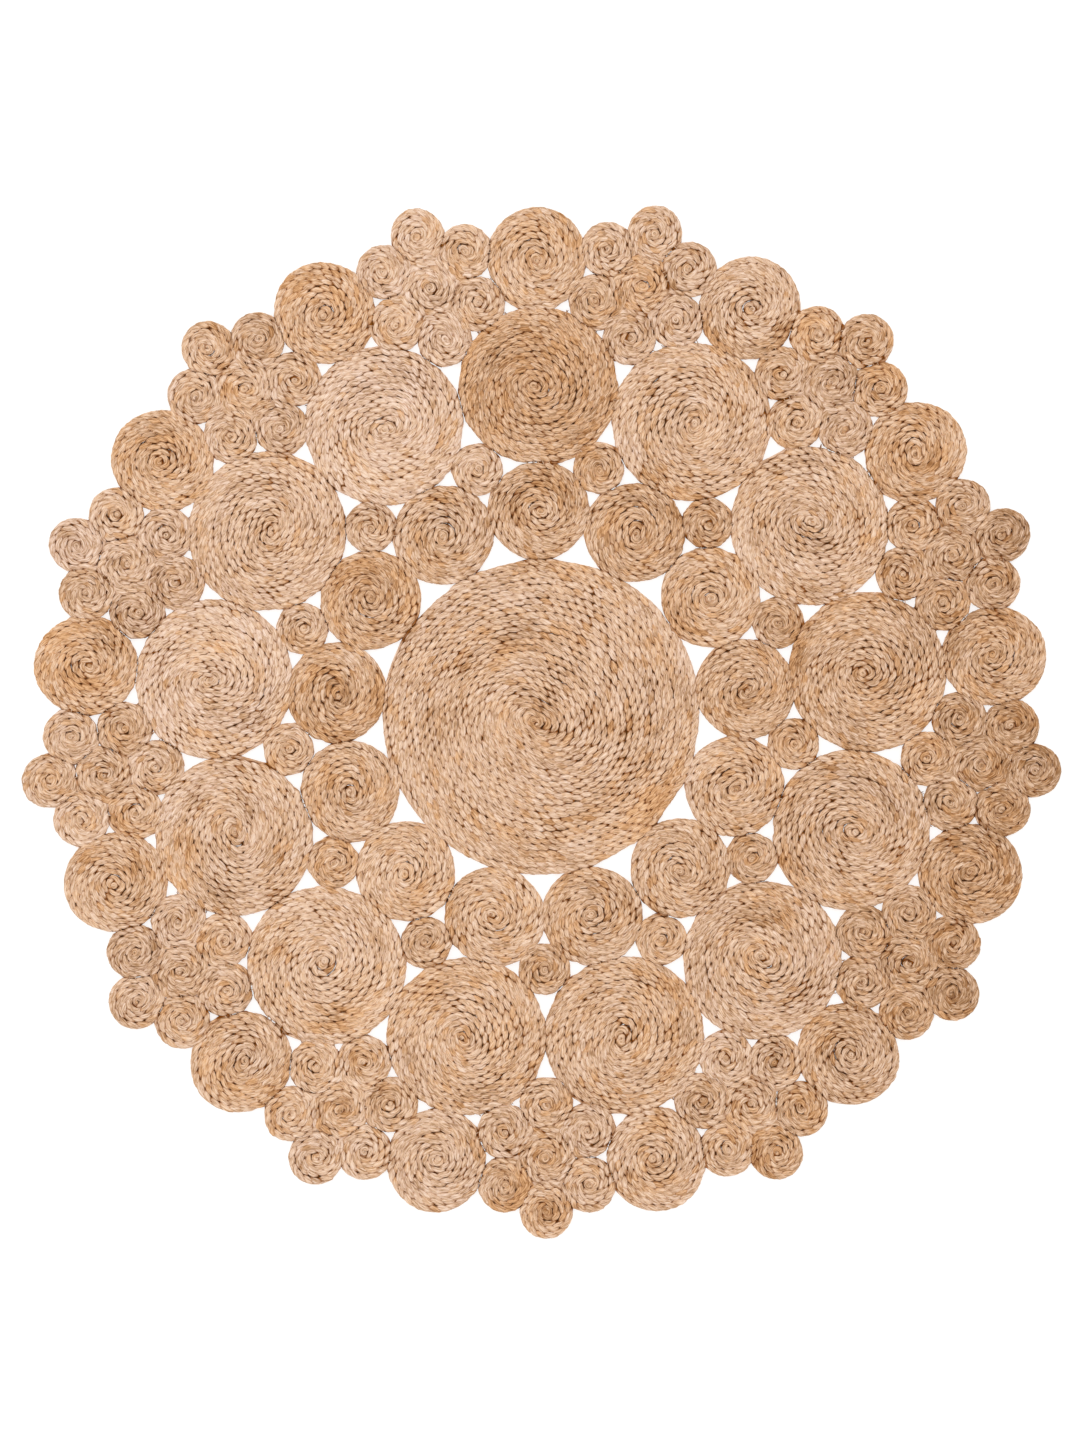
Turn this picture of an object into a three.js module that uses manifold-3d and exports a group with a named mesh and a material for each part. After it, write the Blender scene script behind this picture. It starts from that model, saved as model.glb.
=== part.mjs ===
// A round area rug of flat coils of jute plait, sewn to one another edge to edge.
//
// One large coil lies in the middle. Around it stand thirteen equal sectors, each with an inner
// coil, a small spacer coil, a large coil, a rim coil, and a flower of seven small coils.
//
// Millimetres, +Z up. The origin is the middle of the rug's underside, the rug lies on Z = 0,
// and +Y runs through the first sector's inner, large and rim coils.
import * as THREE from "three";
import { mergeVertices } from "three/addons/utils/BufferGeometryUtils.js";
import Module from "manifold-3d";

const wasm = await Module();
wasm.setup();

// The plait. It is wound standing on edge, so its height is the rug's thickness.
const PLAIT_WIDTH = 9.2;
const PLAIT_HEIGHT = 13;

// How the rug is laid out.
const SECTORS = 13;
const INNER_RING = 301.5; // radius on which the inner coils' middles lie
const SPACER_RING = 372;
const LARGE_RING = 482;
const FLOWER_RING = 646.5;
const RIM_RING = 669;

// Turns of plait in each kind of coil, counted from its middle to its edge.
const CENTRE_TURNS = 25;
const INNER_TURNS = 7.9;
const SPACER_TURNS = 4;
const LARGE_TURNS = 12.6;
const RIM_TURNS = 7.8;
const SMALL_TURNS = 4.2;

// Coils are pressed a little out of round by their neighbours: depth along the rug's radius, as a
// share of the width across it.
const ROUND = 1;
const INNER_DEPTH = 0.985;
const LARGE_DEPTH = 0.985;
const RIM_DEPTH = 1.05;
const SMALL_DEPTH = 1.03;

// A flower's six outer coils, from the middle of the coil that they surround.
const PETAL_REACH = 78.4; // the petals that point straight out and straight in
const PETAL_SIDE = 61.6; // the four others: this far to the side, and half a reach along

// A seam between two coils that are separate pieces leaves this much air.
const SEAM_GAP = 0.3;

// Sides of the outlines, which stand in for the round coils.
const CENTRE_SIDES = 78; // six to each of its thirteen neighbours
const LARGE_SIDES = 36;
const MIDDLE_SIDES = 24;
const SMALL_SIDES = 16;

const FULL_TURN = 2 * Math.PI;
const SECTOR_ANGLE = FULL_TURN / SECTORS;
const FIRST_HEADING = Math.PI / 2; // the first sector points along +Y

const JUTE = { light: 0xdab38f, middle: 0xd2aa88, warm: 0xcfa37c, pale: 0xd9b798 };

function juteMaterial(color) {
  return new THREE.MeshStandardMaterial({ color, roughness: 0.85, metalness: 0 });
}

// A coil: its middle, the heading of its depth, its half width and half depth, and the piece
// that it belongs to.
function coil(x, y, heading, turns, depthShare, sides, piece) {
  const halfWidth = turns * PLAIT_WIDTH;
  return { x, y, heading, halfWidth, halfDepth: halfWidth * depthShare, sides, piece };
}

// A coil whose middle lies on a ring around the rug's middle.
function coilOnRing(radius, heading, turns, depthShare, sides, piece) {
  const x = radius * Math.cos(heading);
  const y = radius * Math.sin(heading);
  return coil(x, y, heading, turns, depthShare, sides, piece);
}

// A flower: one small coil with six around it. Two petals lie on the flower's heading, one out
// and one in, and two lie on each side.
function flowerCoils(heading, piece) {
  const small = (along, aside) => {
    const x = (FLOWER_RING + along) * Math.cos(heading) - aside * Math.sin(heading);
    const y = (FLOWER_RING + along) * Math.sin(heading) + aside * Math.cos(heading);
    return coil(x, y, heading, SMALL_TURNS, SMALL_DEPTH, SMALL_SIDES, piece);
  };
  const halfReach = PETAL_REACH / 2;
  return [
    small(0, 0),
    small(PETAL_REACH, 0),
    small(halfReach, PETAL_SIDE),
    small(-halfReach, PETAL_SIDE),
    small(-PETAL_REACH, 0),
    small(-halfReach, -PETAL_SIDE),
    small(halfReach, -PETAL_SIDE),
  ];
}

// One sector's pieces, each a list of the coils in it. The spacer coil is sewn to the inner coil
// on its near side, and the two make one piece.
function sectorPieces(index) {
  const heading = FIRST_HEADING + index * SECTOR_ANGLE;
  const between = heading + SECTOR_ANGLE / 2;
  const number = String(index + 1).padStart(2, "0");
  const inner = `inner_coil_with_spacer_${number}`;
  const large = `large_coil_${number}`;
  const rim = `rim_coil_${number}`;
  const flower = `flower_of_small_coils_${number}`;
  return [
    {
      name: inner,
      color: JUTE.middle,
      coils: [
        coilOnRing(INNER_RING, heading, INNER_TURNS, INNER_DEPTH, MIDDLE_SIDES, inner),
        coilOnRing(SPACER_RING, between, SPACER_TURNS, ROUND, SMALL_SIDES, inner),
      ],
    },
    {
      name: large,
      color: JUTE.light,
      coils: [coilOnRing(LARGE_RING, heading, LARGE_TURNS, LARGE_DEPTH, LARGE_SIDES, large)],
    },
    {
      name: rim,
      color: JUTE.warm,
      coils: [coilOnRing(RIM_RING, heading, RIM_TURNS, RIM_DEPTH, MIDDLE_SIDES, rim)],
    },
    {
      name: flower,
      color: JUTE.pale,
      coils: flowerCoils(between, flower),
    },
  ];
}

// How far a coil's edge lies from its middle in a direction, before its neighbours press on it.
function reach(one, direction) {
  const turn = direction - one.heading;
  const across = one.halfWidth * Math.cos(turn);
  const along = one.halfDepth * Math.sin(turn);
  return (one.halfWidth * one.halfDepth) / Math.hypot(across, along);
}

// The straight seams along which a coil meets the coils of other pieces. A seam divides the
// distance between the two middles as their free sizes do.
function seams(one, others) {
  const found = [];
  for (const other of others) {
    if (other.piece === one.piece) continue;
    const toOther = Math.atan2(other.y - one.y, other.x - one.x);
    const apart = Math.hypot(other.x - one.x, other.y - one.y);
    const own = reach(one, toOther);
    const theirs = reach(other, toOther + Math.PI);
    if (own + theirs + SEAM_GAP < apart) continue;
    const offset = (apart * own) / (own + theirs) - SEAM_GAP / 2;
    found.push({ direction: toOther, offset });
  }
  return found;
}

// A coil's outline about its own middle: its free curve, cut back to its seams.
function outline(one, others) {
  const pressed = seams(one, others);
  const points = [];
  for (let i = 0; i < one.sides; i++) {
    const direction = one.heading + (i * FULL_TURN) / one.sides;
    let radius = reach(one, direction);
    for (const seam of pressed) {
      const facing = Math.cos(direction - seam.direction);
      if (facing > 0) radius = Math.min(radius, seam.offset / facing);
    }
    points.push(new THREE.Vector2(radius * Math.cos(direction), radius * Math.sin(direction)));
  }
  return points;
}

// A plain slab with a coil's outline, at the coil's place.
function slab(one, others) {
  const shape = new THREE.Shape(outline(one, others));
  const geometry = new THREE.ExtrudeGeometry(shape, { depth: PLAIT_HEIGHT, bevelEnabled: false });
  return geometry.translate(one.x, one.y, 0);
}

function solidOf(geometry) {
  const bare = geometry.clone();
  bare.deleteAttribute("normal");
  bare.deleteAttribute("uv");
  const merged = mergeVertices(bare, 1e-4);
  return new wasm.Manifold(
    new wasm.Mesh({
      numProp: 3,
      vertProperties: merged.attributes.position.array,
      triVerts: new Uint32Array(merged.index.array),
    }),
  );
}

function geometryOf(solid) {
  const mesh = solid.getMesh();
  const geometry = new THREE.BufferGeometry();
  geometry.setAttribute("position", new THREE.BufferAttribute(mesh.vertProperties, 3));
  geometry.setIndex(new THREE.BufferAttribute(mesh.triVerts, 1));
  geometry.computeVertexNormals();
  return geometry;
}

// One mesh for a piece. Coils of one piece run into each other where they are sewn together.
function pieceMesh({ name, color, coils }, allCoils) {
  const slabs = coils.map((one) => slab(one, allCoils));
  let geometry = slabs[0];
  if (slabs.length > 1) {
    const joined = slabs.map(solidOf).reduce((sum, next) => sum.add(next));
    geometry = geometryOf(joined);
  }
  const mesh = new THREE.Mesh(geometry, juteMaterial(color));
  mesh.name = name;
  return mesh;
}

const centre = {
  name: "centre_coil",
  color: JUTE.light,
  coils: [coil(0, 0, FIRST_HEADING, CENTRE_TURNS, ROUND, CENTRE_SIDES, "centre_coil")],
};
const sectors = Array.from({ length: SECTORS }, (_, index) => sectorPieces(index));
const allCoils = [centre, ...sectors.flat()].flatMap((piece) => piece.coils);

const rug = new THREE.Group();
rug.name = "coiled_jute_rug";
rug.add(pieceMesh(centre, allCoils));
for (const pieces of sectors) {
  const sector = new THREE.Group();
  for (const piece of pieces) sector.add(pieceMesh(piece, allCoils));
  rug.add(sector);
}

export default rug;
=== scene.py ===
"""The looks of a round area rug, made of flat coils of jute plait sewn edge to edge.

Every coil is one long three-strand plait, wound standing on edge. The script measures the coils
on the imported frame, works out where each coil's edge lies once its neighbours press on it, winds
a spiral inside that edge, and lays three strands along it. Stitches of thin twine lash the coils
together, and loose fibres stand off the plait.

Metres, +Z up, in the frame of the CAD.
"""

import math
from dataclasses import dataclass

import bpy
import numpy as np
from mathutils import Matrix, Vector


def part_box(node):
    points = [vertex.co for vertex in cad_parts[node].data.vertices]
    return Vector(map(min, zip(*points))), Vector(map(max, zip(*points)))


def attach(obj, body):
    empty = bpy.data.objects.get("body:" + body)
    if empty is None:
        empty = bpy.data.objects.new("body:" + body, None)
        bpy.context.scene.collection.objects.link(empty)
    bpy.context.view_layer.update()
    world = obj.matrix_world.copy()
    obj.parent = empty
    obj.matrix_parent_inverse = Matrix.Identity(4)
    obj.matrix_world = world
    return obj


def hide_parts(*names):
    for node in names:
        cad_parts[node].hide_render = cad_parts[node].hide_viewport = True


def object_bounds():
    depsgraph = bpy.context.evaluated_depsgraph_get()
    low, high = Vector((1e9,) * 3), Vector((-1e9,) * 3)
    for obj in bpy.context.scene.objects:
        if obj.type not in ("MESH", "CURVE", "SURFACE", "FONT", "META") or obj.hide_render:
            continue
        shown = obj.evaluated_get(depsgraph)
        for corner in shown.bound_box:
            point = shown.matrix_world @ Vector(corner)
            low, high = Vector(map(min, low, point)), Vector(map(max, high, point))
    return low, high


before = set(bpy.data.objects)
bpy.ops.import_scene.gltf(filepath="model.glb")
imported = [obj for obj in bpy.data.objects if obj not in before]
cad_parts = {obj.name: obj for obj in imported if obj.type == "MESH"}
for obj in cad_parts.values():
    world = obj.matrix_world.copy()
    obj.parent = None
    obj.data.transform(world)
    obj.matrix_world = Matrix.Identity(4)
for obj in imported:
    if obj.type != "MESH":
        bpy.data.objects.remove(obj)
cad_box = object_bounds()

FULL_TURN = 2 * math.pi
THICKNESS = cad_box[1].z - cad_box[0].z
RUG_RADIUS = (cad_box[1].x - cad_box[0].x) / 2

PLAIT_WIDTH = 0.0092

# Turns of plait in the coils whose free size the frame doesn't show.
SPACER_TURNS = 4
RIM_TURNS = 7.8
SMALL_TURNS = 4.2

# A coil's depth along the rug's radius, as a share of the width across it.
INNER_DEPTH = 0.985
SPACER_DEPTH = 1.0
LARGE_DEPTH = 0.985
RIM_DEPTH = 1.05
SMALL_DEPTH = 1.03

SECTORS = sum(name.startswith("large_coil_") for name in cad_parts)
SECTOR_ANGLE = FULL_TURN / SECTORS
FIRST_HEADING = math.pi / 2  # the first sector points along +Y


# ---- the coils and their seams
@dataclass
class Coil:
    """A coil's name, its CAD node, its middle, the heading of its depth, and its half sizes."""

    name: str
    node: str
    x: float
    y: float
    heading: float
    half_width: float
    half_depth: float

    def reach(self, direction):
        """How far the free edge lies from the middle in a direction."""
        turn = direction - self.heading
        across = self.half_width * np.cos(turn)
        along = self.half_depth * np.sin(turn)
        return self.half_width * self.half_depth / np.hypot(across, along)


def coil_at(name, node, ring, heading, half_width, depth_share, along=0.0, aside=0.0):
    """A coil on a ring round the rug's middle, moved along and aside from there."""
    x = (ring + along) * math.cos(heading) - aside * math.sin(heading)
    y = (ring + along) * math.sin(heading) + aside * math.cos(heading)
    return Coil(name, node, x, y, heading, half_width, half_width * depth_share)


def widest_point(node):
    """The point of a CAD node that lies furthest along +X. It is level with its coil's middle."""
    points = [vertex.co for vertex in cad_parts[node].data.vertices]
    return max(points, key=lambda point: point.x)


def flower_coils(name, node, ring, heading, reach, side):
    """One small coil with six round it: one straight out, one straight in, two on each side."""
    half_width = SMALL_TURNS * PLAIT_WIDTH
    places = [(0, 0), (reach, 0), (-reach, 0)]
    places += [(along, aside) for along in (reach / 2, -reach / 2) for aside in (side, -side)]
    return [
        coil_at(name, node, ring, heading, half_width, SMALL_DEPTH, along, aside)
        for along, aside in places
    ]


def coils_of_rug():
    """All coils, placed by what the frame measures on the sectors that lie on the Y axis."""
    low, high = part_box("centre_coil")
    half_width = (high.x - low.x) / 2
    half_depth = (high.y - low.y) / 2
    rug = [Coil("centre", "centre_coil", 0.0, 0.0, FIRST_HEADING, half_width, half_depth)]

    inner = widest_point("inner_coil_with_spacer_01")
    large = widest_point("large_coil_01")

    rim_width = RIM_TURNS * PLAIT_WIDTH
    rim_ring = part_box("rim_coil_01")[1].y - rim_width * RIM_DEPTH

    spacer_width = SPACER_TURNS * PLAIT_WIDTH
    low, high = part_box("inner_coil_with_spacer_01")
    spacer_ring = math.hypot(low.x + spacer_width, high.y - spacer_width)

    low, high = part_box(f"flower_of_small_coils_{(SECTORS + 1) // 2:02d}")
    flower_ring = -(low.y + high.y) / 2
    petal_reach = (high.y - low.y) / 2 - SMALL_TURNS * PLAIT_WIDTH * SMALL_DEPTH
    petal_side = (high.x - low.x) / 2 - SMALL_TURNS * PLAIT_WIDTH

    for index in range(SECTORS):
        number = f"{index + 1:02d}"
        heading = FIRST_HEADING + index * SECTOR_ANGLE
        between = heading + SECTOR_ANGLE / 2
        inner_node = "inner_coil_with_spacer_" + number
        large_node = "large_coil_" + number
        rim_node = "rim_coil_" + number
        flower_node = "flower_of_small_coils_" + number
        spacer = ("spacer_" + number, inner_node, spacer_ring, between)
        rug += [
            coil_at("inner_" + number, inner_node, inner.y, heading, inner.x, INNER_DEPTH),
            coil_at(*spacer, spacer_width, SPACER_DEPTH),
            coil_at("large_" + number, large_node, large.y, heading, large.x, LARGE_DEPTH),
            coil_at("rim_" + number, rim_node, rim_ring, heading, rim_width, RIM_DEPTH),
        ]
        flower = ("flower_" + number, flower_node, flower_ring, between)
        rug += flower_coils(*flower, petal_reach, petal_side)
    return rug


TOUCHING = 0.001  # coils no further apart than this are sewn together


@dataclass
class Seam:
    """A seam: its direction and distance from a coil's middle, and its half length."""

    direction: float
    distance: float
    half_length: float


def seam_between(one, other):
    """The seam on which two coils meet, as the first coil sees it, or None if they stand apart."""
    apart = math.hypot(other.x - one.x, other.y - one.y)
    direction = math.atan2(other.y - one.y, other.x - one.x)
    own = one.reach(direction)
    theirs = other.reach(direction + math.pi)
    if own + theirs + TOUCHING < apart:
        return None
    distance = apart * own / (own + theirs)
    half_length = math.sqrt(max(own * own - distance * distance, 0))
    return Seam(direction, distance, half_length)


def seams_of(one, rug):
    """All the seams of one coil."""
    found = [seam_between(one, other) for other in rug if other is not one]
    return [seam for seam in found if seam is not None]


# ---- noise
def smooth_step(share):
    """A share from 0 to 1 that leaves 0 and reaches 1 gently."""
    share = np.clip(share, 0, 1)
    return share * share * (3 - 2 * share)


def smooth_noise(rng, along, amount, length):
    """Noise from -amount to amount that changes over about a length."""
    place = (along - along.min()) / length
    knots = rng.uniform(-1, 1, int(place.max()) + 2)
    before = place.astype(int)
    share = smooth_step(place - before)
    return amount * (knots[before] * (1 - share) + knots[before + 1] * share)


# ---- where a coil's edge lies
DIRECTIONS = np.linspace(0, FULL_TURN, 720, endpoint=False)  # every half degree
NEARBY = 0.06  # coils with more room than this between them share neither border nor hole
BORDER_ROUNDS = 4  # rounds in which a border is found
LEAST_FACING = 0.001  # a direction that faces a coil less than this meets no border
NO_BORDER = 1.0  # and the border counts as so far off there
SMALL_HOLE = 0.0045  # where coils' edges are nearer a hole's middle than this, it is sewn shut
CORNER_FILL = 0.0012  # how far an edge is drawn into the corners of a wider hole
FILL_FADE = 4  # an edge further off is drawn out less and less, over so many times that
HOLE_OVERLAP = 0.0010  # how far edges go past the middle of a hole that is sewn shut
OPEN_HOLE = 0.003  # an edge further than this from its neighbours lies in the open
FREE_EDGE = 0.006  # and one further than this is uneven in full
OUT_OF_ROUND = ((2, 0.007), (3, 0.006))  # waves round such an edge, and their height as a share
EDGE_ROUNDING = 0.004  # length over which an edge eases from pressed to free


def at_direction(values, direction):
    """The value at a direction, from values given at DIRECTIONS."""
    return np.interp(direction % FULL_TURN, DIRECTIONS, values, period=FULL_TURN)


def border(coil, other):
    """For each direction, how far past its free edge a coil comes before it is halfway to the other.

    Where the two free edges overlap, this is negative: there the coils press on each other.
    """
    apart = math.hypot(other.x - coil.x, other.y - coil.y)
    facing = apart * np.cos(DIRECTIONS - math.atan2(other.y - coil.y, other.x - coil.x))
    own = coil.reach(DIRECTIONS)
    radius = own
    for _ in range(BORDER_ROUNDS):
        x = coil.x + radius * np.cos(DIRECTIONS) - other.x
        y = coil.y + radius * np.sin(DIRECTIONS) - other.y
        difference = other.reach(np.arctan2(y, x)) - own
        below = np.maximum(difference + facing, LEAST_FACING)
        radius = (apart**2 - difference**2) / (2 * below)
        radius = np.minimum(radius, own + NO_BORDER)
    return radius - own


def neighbours(coil, rug):
    """The coils close enough to share a border or a hole with this one."""
    found = []
    for other in rug:
        apart = math.hypot(other.x - coil.x, other.y - coil.y)
        if other is not coil and apart < coil.half_width + other.half_width + NEARBY:
            found.append(other)
    return found


def hole_sizes(gap):
    """For each direction, the widest gap of the hole that the coil's edge faces there."""
    start = int(np.argmin(gap))
    turned = np.roll(gap, -start)
    hole = np.cumsum(np.diff(turned > 0, prepend=False))
    widest = np.zeros(hole[-1] + 1)
    np.maximum.at(widest, hole, turned)
    return np.roll(widest[hole], start)


def edges(coil, rug, rng):
    """The coil's free edge, its edge once neighbours press on it and stitches draw it out, and
    how far its free edge lies from the border with its neighbours.
    """
    free = coil.reach(DIRECTIONS)
    gap = np.min([border(coil, other) for other in neighbours(coil, rug)], axis=0)
    small = hole_sizes(gap) < SMALL_HOLE
    limit = np.where(small, SMALL_HOLE, CORNER_FILL)
    fade = smooth_step((gap - limit) / (FILL_FADE * limit))
    drawn = np.where(gap > 0, np.minimum(gap, limit) * (1 - fade), gap)
    starts = rng.uniform(0, FULL_TURN, len(OUT_OF_ROUND))
    uneven = sum(
        height * np.sin(waves * DIRECTIONS + start)
        for (waves, height), start in zip(OUT_OF_ROUND, starts)
    )
    overlap = HOLE_OVERLAP * small * smooth_step(gap / HOLE_OVERLAP)
    sewn = free + drawn + overlap + free * uneven * smooth_step(gap / FREE_EDGE)

    count = max(2, int(EDGE_ROUNDING / (coil.half_width * FULL_TURN / len(DIRECTIONS))))
    around = np.concatenate([sewn[-count:], sewn, sewn[:count]])
    window = np.hanning(2 * count + 3)[1:-1]
    return free, np.convolve(around, window / window.sum(), mode="valid"), gap


# ---- the spiral
PLAIT_PERIOD = 0.042  # length of plait in which a strand comes back to the same side
STEP_LENGTH = PLAIT_PERIOD / 12
STEP_ANGLE = 0.4  # a step never turns further than this, in the tight turns at a coil's start
SPIRAL_POINTS = 360  # for each turn, while the spiral is worked out

END_SLOPE = 0.35  # share of a turn's step outwards that is spread evenly round the last turn
END_TAPER = 0.22  # the rest of the step is taken in this share of a turn, where the end is tucked
EVEN_TURNS = 3.5  # so many turns from the end, the spiral has become an even one
START_EDGE = 0.25  # outer edge of the very start, in plait widths from the coil's middle
START_WIDTH = 0.85  # share of its width that the plait has there
PRESS_DEPTH = 2  # the higher, the more the outermost turns take up where a neighbour presses
MIDDLE_OVAL = (0.1, 0.4)  # how far from round a coil's innermost turn is
OFF_MIDDLE = 0.06  # how far the start lies from the coil's middle, as a share of the coil's radius
TURN_RIPPLE = 0.16  # how far turns wander in and out, in plait widths
RIPPLE_TURNS = 3.3  # over so many turns
PATH_WANDER = (0.06, 0.03)  # how far the plait itself does, in its widths, and over what length
WIDTH_LIMITS = (0.05, 1.35)  # strands follow the plait's width between these shares of the usual


@dataclass
class Path:
    """The plait's middle line from its outer end inwards, counter-clockwise seen from above."""

    middle: np.ndarray  # x and y
    outward: np.ndarray  # unit vector, away from the coil's middle
    width: np.ndarray  # the plait's width there
    along: np.ndarray  # length from the outer end
    radius: np.ndarray  # distance from the coil's middle
    inside: np.ndarray  # distance from the plait's outer side to the coil's edge
    in_open: np.ndarray  # 1 where that edge lies in the open, 0 where a neighbour leans on it

    def from_side(self):
        """How deep the middle line lies inside the coil's open side, if it has one there."""
        return self.inside + self.width / 2 + THICKNESS * (1 - self.in_open)

    def fullness(self):
        """The plait's width, as a share of the usual one."""
        return np.clip(self.width / PLAIT_WIDTH, *WIDTH_LIMITS)


def turn_edges(before_end, turns):
    """Inner and outer edge of the plait in turns of plait, so many turns before its outer end.

    Each turn lies outside the one before. In the last turns, most of the step outwards is taken in
    one short stretch, so that the coil ends round, with a tapered end tucked in.
    """
    whole = np.floor(before_end)
    part = before_end - whole
    stepped = END_SLOPE * part + (1 - END_SLOPE) * smooth_step(part / END_TAPER)
    even = smooth_step((before_end - 1) / (EVEN_TURNS - 1))
    steps = whole + stepped + (part - stepped) * even
    edge = turns + END_SLOPE / 2
    outer = edge + (1 - END_SLOPE) - steps
    tapered = np.minimum(outer, edge - END_SLOPE * before_end)
    return outer - 1, np.where(before_end < 1, tapered, outer)


def path_through(x, y, width, radius, inside, in_open):
    """The path through points that lie SPIRAL_POINTS to the turn. Its own steps are of one length,
    or shorter where it turns tightly.
    """
    stretch = np.hypot(np.diff(x), np.diff(y))
    along = np.concatenate([[0], np.cumsum(stretch)])
    steps = np.maximum(stretch / STEP_LENGTH, FULL_TURN / SPIRAL_POINTS / STEP_ANGLE)
    count = np.concatenate([[0], np.cumsum(steps)])
    at = np.linspace(0, count[-1], int(count[-1]) + 1)
    x, y, width, along, radius, inside, in_open = (
        np.interp(at, count, values)
        for values in (x, y, width, along, radius, inside, in_open)
    )

    heading = np.stack([np.gradient(x), np.gradient(y)], axis=1)
    heading /= np.linalg.norm(heading, axis=1, keepdims=True)
    outward = np.stack([heading[:, 1], -heading[:, 0]], axis=1)
    return Path(np.stack([x, y], axis=1), outward, width, along, radius, inside, in_open)


def spiral(coil, rug, rng):
    """The path of the plait that a coil is wound from. Its outer end is tucked into a seam."""
    free, sewn, gap = edges(coil, rug, rng)
    turns = (coil.half_width + coil.half_depth) / 2 / PLAIT_WIDTH
    before_end = np.arange(0, turns + 2, 1 / SPIRAL_POINTS)
    inner, outer = turn_edges(before_end, turns)
    keep = outer > START_EDGE
    inner, outer, before_end = inner[keep], outer[keep], before_end[keep]

    seams = seams_of(coil, rug)
    end = seams[rng.integers(len(seams))].direction
    direction = end + FULL_TURN * before_end
    edge = at_direction(free, direction)
    sewn_edge = at_direction(sewn, direction)
    press = 1 - sewn_edge / edge

    lean, swirl = rng.uniform(0, FULL_TURN, 2)
    oval = rng.uniform(*MIDDLE_OVAL)

    def radius_at(share):
        """The radius at a share of the way from the coil's middle to its edge."""
        inwards = np.clip(1 - share, 0, 1)
        shape = 1 + oval * inwards**2 * np.cos(2 * (direction - lean))
        ripple = np.sin(share * turns * FULL_TURN / RIPPLE_TURNS + direction + swirl)
        shape += TURN_RIPPLE / turns * ripple * np.sqrt(inwards)
        return edge * share * shape * (1 - press * np.clip(share, 0, 1) ** PRESS_DEPTH)

    inner_radius = radius_at(inner / turns)
    outer_radius = radius_at(outer / turns)
    width = outer_radius - inner_radius
    width *= START_WIDTH + (1 - START_WIDTH) * smooth_step(outer - START_EDGE)
    inside = np.maximum(sewn_edge - outer_radius, 0)
    in_open = smooth_step(at_direction(gap, direction) / OPEN_HOLE)
    radius = (outer_radius + inner_radius) / 2
    arc = np.cumsum(np.abs(radius)) * FULL_TURN / SPIRAL_POINTS
    wander = smooth_noise(rng, arc, *PATH_WANDER)
    radius = radius + wander * width * np.clip(before_end, 0, 1)
    off_middle = OFF_MIDDLE * coil.half_width * np.clip(1 - outer / turns, 0, 1) ** 2
    x = coil.x + radius * np.cos(direction) + off_middle * math.cos(swirl)
    y = coil.y + radius * np.sin(direction) + off_middle * math.sin(swirl)
    return path_through(x, y, width, radius, inside, in_open)


# ---- tubes
ROUND = 1.0  # the squareness of a tube whose section is an ellipse


@dataclass
class Tube:
    """A closed tube: its points, its quads, its two end faces, and a value of each kind per point."""

    points: np.ndarray
    quads: np.ndarray
    caps: list
    values: dict


def tube(line, half_across, half_high, relief, squareness, values):
    """A tube round a line. relief scales the section at each point of each ring.

    values are given per point of the line. Each point also gets its place along and across the
    tube, and its depth below the rug's nearer face or inside the coil's open side.
    """
    rings, sides = relief.shape
    heading = np.gradient(line, axis=0)
    heading /= np.linalg.norm(heading, axis=1, keepdims=True)
    across = np.cross(heading, (0.0, 0.0, 1.0))
    across /= np.linalg.norm(across, axis=1, keepdims=True)
    upward = np.cross(across, heading)
    angle = FULL_TURN * np.arange(sides) / sides
    across_share = np.sign(np.cos(angle)) * np.abs(np.cos(angle)) ** squareness
    high_share = np.sign(np.sin(angle)) * np.abs(np.sin(angle)) ** squareness
    to_side = relief * across_share * half_across[:, None]
    to_top = relief * high_share * half_high[:, None]
    points = (
        line[:, None, :]
        + to_side[:, :, None] * across[:, None, :]
        + to_top[:, :, None] * upward[:, None, :]
    ).reshape(-1, 3)
    points[:, 2] = np.maximum(points[:, 2], 0)

    ring, side = np.meshgrid(np.arange(rings - 1), np.arange(sides), indexing="ij")
    here = ring * sides + side
    beside = ring * sides + (side + 1) % sides
    quads = np.stack([here, here + sides, beside + sides, beside], axis=-1).reshape(-1, 4)
    first = np.arange(sides)
    last = first[::-1] + (rings - 1) * sides

    spread = {name: np.repeat(value, sides) for name, value in values.items()}
    spread["fibre_place"] = np.stack(
        [spread["fibre_place"], to_side.ravel(), to_top.ravel()], axis=1
    )
    # depth, below the nearer face or inside an open side, sets how much painted shade the jute
    # material puts on a point.
    below_face = np.minimum(points[:, 2], THICKNESS - points[:, 2])
    spread["depth"] = np.clip(spread["from_side"] - to_side.ravel(), 0, below_face)
    return Tube(points, quads, [first, last], spread)


def even_values(count, tone, hue, length, offset):
    """Values for a short tube: one tone and one hue, its place along the fibre, no open side."""
    return {
        "tone": np.full(count, tone),
        "hue": np.full(count, hue),
        "fibre_place": offset + np.linspace(0, length, count),
        "from_side": np.full(count, THICKNESS),
    }


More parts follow.
